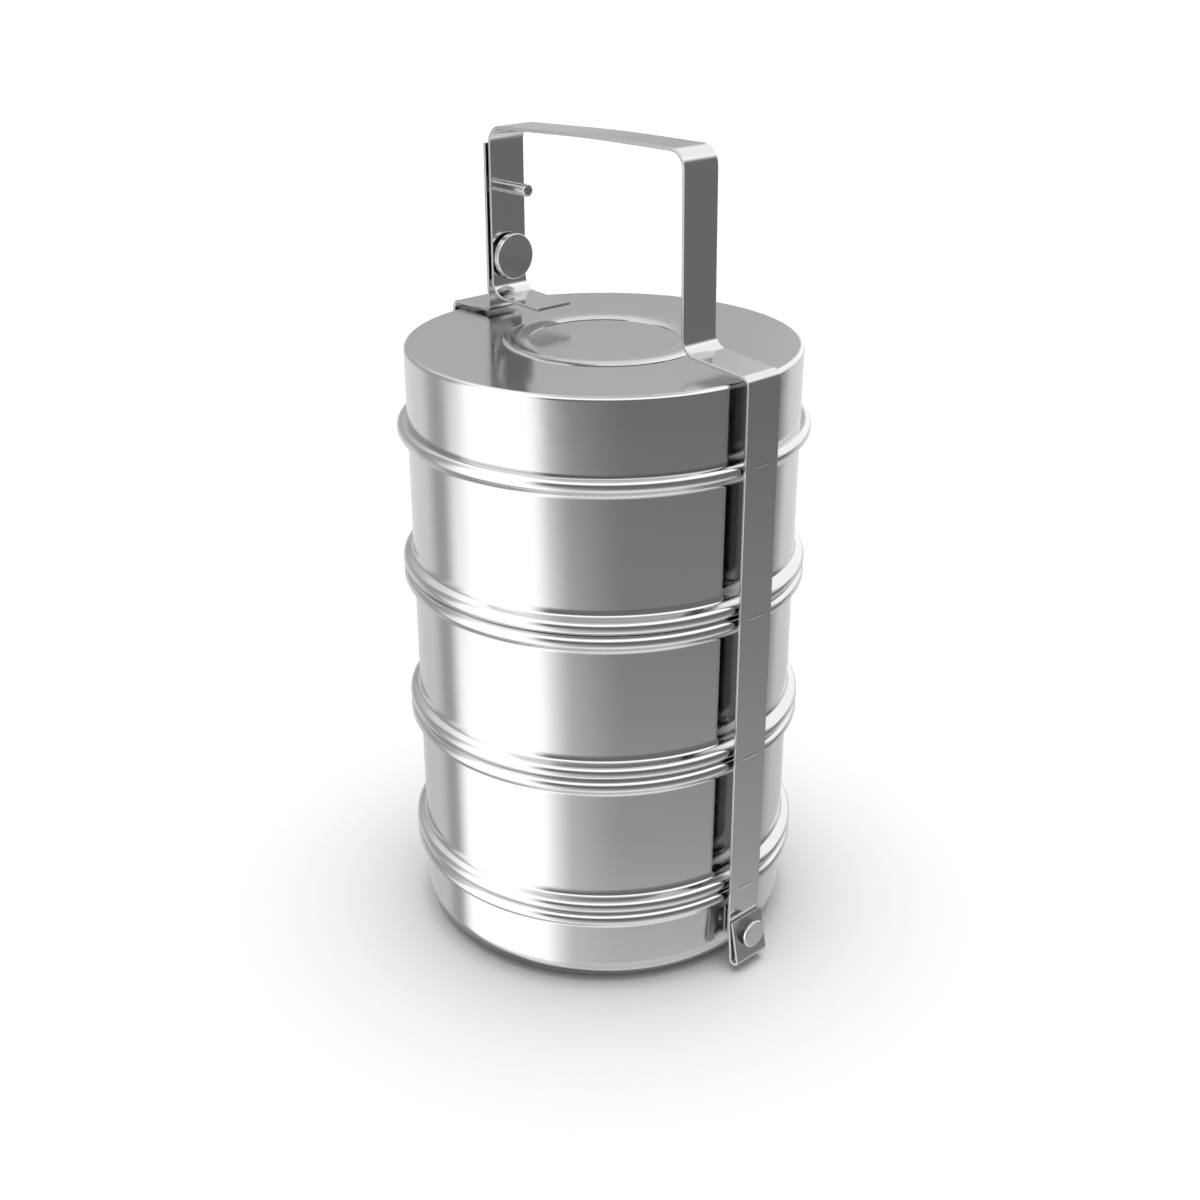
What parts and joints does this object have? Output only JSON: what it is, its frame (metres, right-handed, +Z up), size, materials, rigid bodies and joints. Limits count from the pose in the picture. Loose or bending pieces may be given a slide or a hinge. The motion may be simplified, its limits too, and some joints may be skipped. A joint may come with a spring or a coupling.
{
  "type": "tiffin carrier",
  "caption": "Stacking stainless-steel food carrier: nested beaded bowls under a lid, clamped by hinged side straps, one running on into the carrying handle.",
  "frame": {"origin": "centre of the base bowl's flat underside, on the surface that the carrier stands on", "axes": "+Z up the stack's axis, +X towards the strap that runs on into the handle, +Y across the handle"},
  "size_m": [0.1638, 0.1474, 0.2948],
  "materials": {
    "polished_bowl_steel": "polished",
    "strap_steel": "polished strip",
    "fastener_steel": "turned and polished"
  },
  "bodies": {
    "base": {"base_bowl": "polished_bowl_steel", "right_hinge_lug": "strap_steel", "left_hinge_lug": "strap_steel"},
    "lower_tier": {"bowl_3": "polished_bowl_steel"},
    "middle_tier": {"bowl_2": "polished_bowl_steel"},
    "upper_tier": {"bowl_1": "polished_bowl_steel"},
    "cover": {"lid": "polished_bowl_steel"},
    "handle": {"handle_strap": "strap_steel", "latch_stud": "fastener_steel", "stud_washer": "fastener_steel", "right_foot_rivet": "fastener_steel", "right_rivet_washer": "fastener_steel"},
    "latch": {"latch_strap": "strap_steel", "left_foot_rivet": "fastener_steel", "left_rivet_washer": "fastener_steel"},
    "lock": {"lock_pin": "fastener_steel"}
  },
  "joints": [
    {"name": "handle_swing", "type": "hinge", "parent": "base", "child": "handle", "pos_m": [0.07855, 0, 0.0053], "axis": [0, 1, 0], "range_deg": [0, 85]},
    {"name": "latch_swing", "type": "hinge", "parent": "base", "child": "latch", "pos_m": [-0.07855, 0, 0.0053], "axis": [0, -1, 0], "range_deg": [0, 85]},
    {"name": "bowl_3_lift", "type": "slide", "parent": "base", "child": "lower_tier", "axis": [0, 0, 1], "range_m": [0, 0.012]},
    {"name": "bowl_2_lift", "type": "slide", "parent": "lower_tier", "child": "middle_tier", "axis": [0, 0, 1], "range_m": [0, 0.012]},
    {"name": "bowl_1_lift", "type": "slide", "parent": "middle_tier", "child": "upper_tier", "axis": [0, 0, 1], "range_m": [0, 0.012]},
    {"name": "lid_lift", "type": "slide", "parent": "upper_tier", "child": "cover", "axis": [0, 0, 1], "range_m": [0, 0.012]},
    {"name": "lock_pin_pull", "type": "slide", "parent": "handle", "child": "lock", "axis": [1, 0, 0], "range_m": [0, 0.006]}
  ],
  "couplings": [
    {"joint": "latch_swing", "follows": "handle_swing", "ratio": 1},
    {"joint": "bowl_3_lift", "follows": "handle_swing", "m_per_rad": 0.00808},
    {"joint": "bowl_2_lift", "follows": "handle_swing", "m_per_rad": 0.00808},
    {"joint": "bowl_1_lift", "follows": "handle_swing", "m_per_rad": 0.00808},
    {"joint": "lid_lift", "follows": "handle_swing", "m_per_rad": 0.00808}
  ]
}
